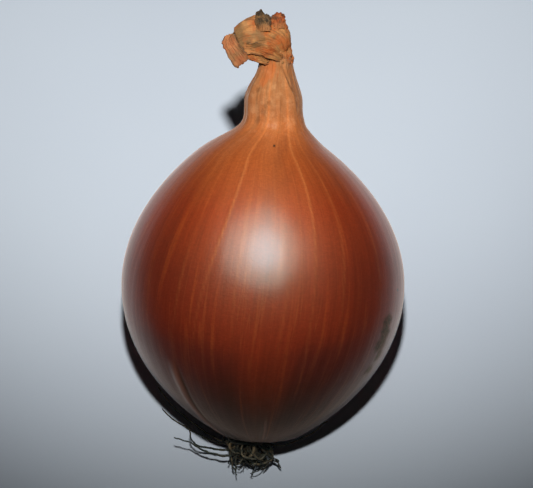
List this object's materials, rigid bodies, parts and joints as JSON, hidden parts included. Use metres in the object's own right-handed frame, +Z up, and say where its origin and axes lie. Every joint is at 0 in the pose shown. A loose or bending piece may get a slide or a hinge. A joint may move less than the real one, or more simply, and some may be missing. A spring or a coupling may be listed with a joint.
{
  "type": "onion",
  "caption": "Dried brown globe onion lying on its side, with a pleated neck, torn leaf ends folded over on top and a tuft of wiry roots.",
  "frame": {"origin": "middle of the small flat spot that the onion rests on, in the plane of the table", "axes": "+Z up; +Y level, the way that the neck points; +X to the right with the roots nearest and the neck away"},
  "size_m": [0.0706, 0.0833, 0.0887],
  "materials": {
    "onion_skin": "thin glossy dry skin, red-brown",
    "dry_leaf": "dull withered leaf, tan",
    "root": "dull dry fibre, straw brown"
  },
  "bodies": {
    "root": {"bulb": "onion_skin", "dry_leaves": "dry_leaf", "root_tuft": "root"}
  },
  "joints": []
}
